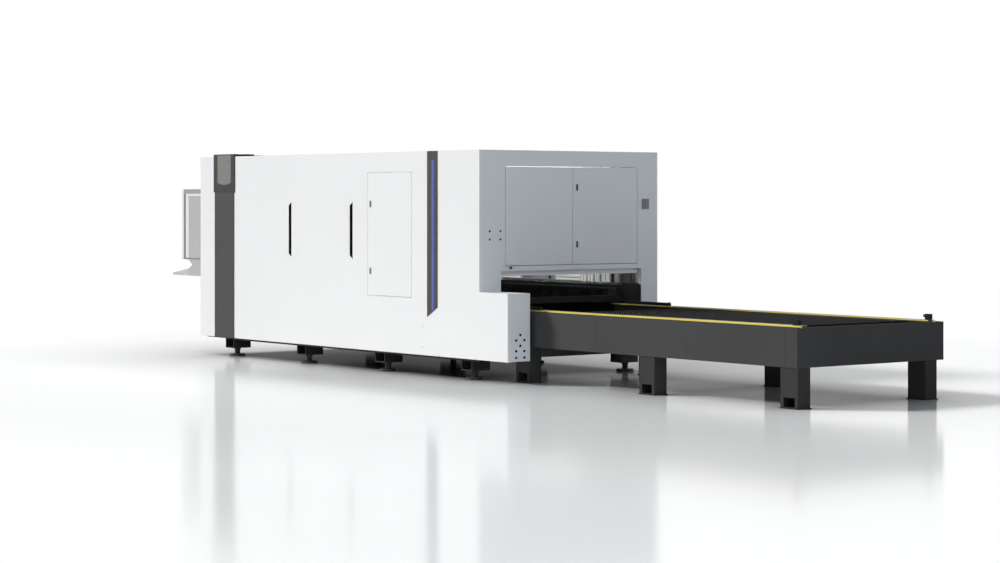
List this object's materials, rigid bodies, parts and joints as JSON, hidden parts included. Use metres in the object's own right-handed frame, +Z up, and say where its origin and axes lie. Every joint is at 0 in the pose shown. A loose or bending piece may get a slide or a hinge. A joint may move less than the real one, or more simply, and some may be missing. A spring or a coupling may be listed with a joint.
{
  "type": "fiber laser cutting machine",
  "caption": "Fully enclosed flatbed fiber laser cutting machine with access doors, operator console and a two-level shuttle table that swaps toothed pallets.",
  "frame": {"origin": "centre of the machine's bounding box, at floor height", "axes": "+X along the shuttle table, away from the cabin and console; +Z up; the side box and console are on the -Y side"},
  "size_m": [9.886, 2.293, 2.261],
  "materials": {
    "cabin_white": "satin",
    "wall_grey": "satin",
    "dark_band": "satin",
    "lens_grey": "gloss",
    "light_blue": "gloss",
    "frame_grey": "satin",
    "machine_black": "satin",
    "rail_yellow": "satin",
    "ground_steel": "ground",
    "slat_steel": "mill scale",
    "gantry_grey": "satin",
    "alloy": "anodised",
    "console_grey": "satin",
    "screen_black": "gloss",
    "window_glass": "tinted",
    "latch_black": "matte",
    "stop_red": "gloss",
    "start_green": "gloss"
  },
  "bodies": {
    "machine": {"base_frame": "machine_black", "bed_beams": "machine_black", "pallet_ledges": "machine_black", "gantry_rails": "ground_steel", "cabin_frame": "frame_grey", "side_panel_left": "cabin_white", "side_panel_right": "cabin_white", "front_side_panels": "cabin_white", "front_end_panel": "cabin_white", "end_wall": "wall_grey", "side_box": "wall_grey", "roof_panels": "cabin_white", "front_bands": "dark_band", "band_caps": "dark_band", "band_lenses": "lens_grey", "roof_band": "dark_band", "accent_strips": "dark_band", "light_strips": "light_blue", "grip_cups": "machine_black", "side_door_frames": "frame_grey", "rear_door_frame": "frame_grey", "front_door_frame": "frame_grey", "console_body": "console_grey", "console_screen": "screen_black", "keyboard_tray": "console_grey", "call_box": "console_grey", "foot_tubes": "machine_black", "levelling_feet": "machine_black", "laser_source": "frame_grey", "table_beams": "machine_black", "table_legs": "machine_black", "table_covers": "machine_black", "track_rails": "rail_yellow", "entry_guides": "machine_black", "stop_blocks": "machine_black", "gear_motor": "gantry_grey", "shaft_bearings": "machine_black"},
    "rear_door_left": {"rear_door_left": "wall_grey"},
    "rear_door_right": {"rear_door_right": "wall_grey"},
    "rear_latch_upper": {"rear_latch_upper": "latch_black"},
    "rear_latch_lower": {"rear_latch_lower": "latch_black"},
    "side_door_left": {"side_door_left": "cabin_white"},
    "side_latch_left_upper": {"side_latch_left_upper": "latch_black"},
    "side_latch_left_lower": {"side_latch_left_lower": "latch_black"},
    "side_door_right": {"side_door_right": "cabin_white"},
    "side_latch_right_upper": {"side_latch_right_upper": "latch_black"},
    "side_latch_right_lower": {"side_latch_right_lower": "latch_black"},
    "front_door": {"front_door": "cabin_white", "front_window": "window_glass"},
    "lift_gate": {"lift_gate": "frame_grey"},
    "gantry": {"gantry_beam": "gantry_grey"},
    "carriage": {"cross_carriage": "alloy"},
    "head": {"cutting_head": "alloy"},
    "upper_pallet": {"upper_pallet_frame": "machine_black", "upper_pallet_slats": "slat_steel"},
    "lower_pallet": {"lower_pallet_frame": "machine_black", "lower_pallet_slats": "slat_steel"},
    "emergency_stop": {"emergency_stop": "stop_red"},
    "start_button": {"start_button": "start_green"},
    "drive_shaft": {"drive_shaft": "ground_steel"}
  },
  "joints": [
    {"name": "rear_door_left_swing", "type": "hinge", "parent": "machine", "child": "rear_door_left", "pos_m": [0.943, -0.805, 1.594], "axis": [0, 0, -1], "range_deg": [0, 110]},
    {"name": "rear_door_right_swing", "type": "hinge", "parent": "machine", "child": "rear_door_right", "pos_m": [0.943, 0.849, 1.594], "axis": [0, 0, 1], "range_deg": [0, 110]},
    {"name": "rear_latch_upper_turn", "type": "hinge", "parent": "rear_door_right", "child": "rear_latch_upper", "pos_m": [0.955, 0.076, 1.875], "axis": [1, 0, 0], "range_deg": [0, 90]},
    {"name": "rear_latch_lower_turn", "type": "hinge", "parent": "rear_door_right", "child": "rear_latch_lower", "pos_m": [0.955, 0.076, 1.311], "axis": [1, 0, 0], "range_deg": [0, 90]},
    {"name": "side_door_left_swing", "type": "hinge", "parent": "machine", "child": "side_door_left", "pos_m": [-0.185, -1.1225, 1.4035], "axis": [0, 0, 1], "range_deg": [0, 110]},
    {"name": "side_latch_left_upper_turn", "type": "hinge", "parent": "side_door_left", "child": "side_latch_left_upper", "pos_m": [-0.893, -1.1345, 1.711], "axis": [0, -1, 0], "range_deg": [0, 90]},
    {"name": "side_latch_left_lower_turn", "type": "hinge", "parent": "side_door_left", "child": "side_latch_left_lower", "pos_m": [-0.893, -1.1345, 1.027], "axis": [0, -1, 0], "range_deg": [0, 90]},
    {"name": "side_door_right_swing", "type": "hinge", "parent": "machine", "child": "side_door_right", "pos_m": [-0.185, 1.1225, 1.4035], "axis": [0, 0, -1], "range_deg": [0, 110]},
    {"name": "side_latch_right_upper_turn", "type": "hinge", "parent": "side_door_right", "child": "side_latch_right_upper", "pos_m": [-0.893, 1.1345, 1.711], "axis": [0, 1, 0], "range_deg": [0, 90]},
    {"name": "side_latch_right_lower_turn", "type": "hinge", "parent": "side_door_right", "child": "side_latch_right_lower", "pos_m": [-0.893, 1.1345, 1.027], "axis": [0, 1, 0], "range_deg": [0, 90]},
    {"name": "front_door_swing", "type": "hinge", "parent": "machine", "child": "front_door", "pos_m": [-4.3, 0.882, 1.24], "axis": [0, 0, -1], "range_deg": [0, 110]},
    {"name": "lift_gate_travel", "type": "slide", "parent": "machine", "child": "lift_gate", "axis": [0, 0, -1], "range_m": [0, 0.1]},
    {"name": "gantry_travel", "type": "slide", "parent": "machine", "child": "gantry", "axis": [1, 0, 0], "range_m": [0, 3.05]},
    {"name": "carriage_travel", "type": "slide", "parent": "gantry", "child": "carriage", "axis": [0, 1, 0], "range_m": [-0.6, 0.6]},
    {"name": "head_travel", "type": "slide", "parent": "carriage", "child": "head", "axis": [0, 0, -1], "range_m": [0, 0.1]},
    {"name": "upper_pallet_travel", "type": "slide", "parent": "machine", "child": "upper_pallet", "axis": [1, 0, 0], "range_m": [0, 4.08]},
    {"name": "lower_pallet_travel", "type": "slide", "parent": "machine", "child": "lower_pallet", "axis": [1, 0, 0], "range_m": [-4.08, 0]},
    {"name": "drive_shaft_spin", "type": "hinge", "parent": "machine", "child": "drive_shaft", "pos_m": [4.635, 0.041, 0.43], "axis": [0, 1, 0], "range_deg": [0, 3900]},
    {"name": "emergency_stop_press", "type": "slide", "parent": "machine", "child": "emergency_stop", "axis": [1, 0, 0], "range_m": [0, 0.006], "stiffness_N_per_m": 600},
    {"name": "start_button_press", "type": "slide", "parent": "machine", "child": "start_button", "axis": [1, 0, 0], "range_m": [0, 0.003], "stiffness_N_per_m": 400}
  ],
  "couplings": [
    {"joint": "lower_pallet_travel", "follows": "upper_pallet_travel", "ratio": -1},
    {"joint": "drive_shaft_spin", "follows": "upper_pallet_travel", "rad_per_m": 16.667}
  ]
}
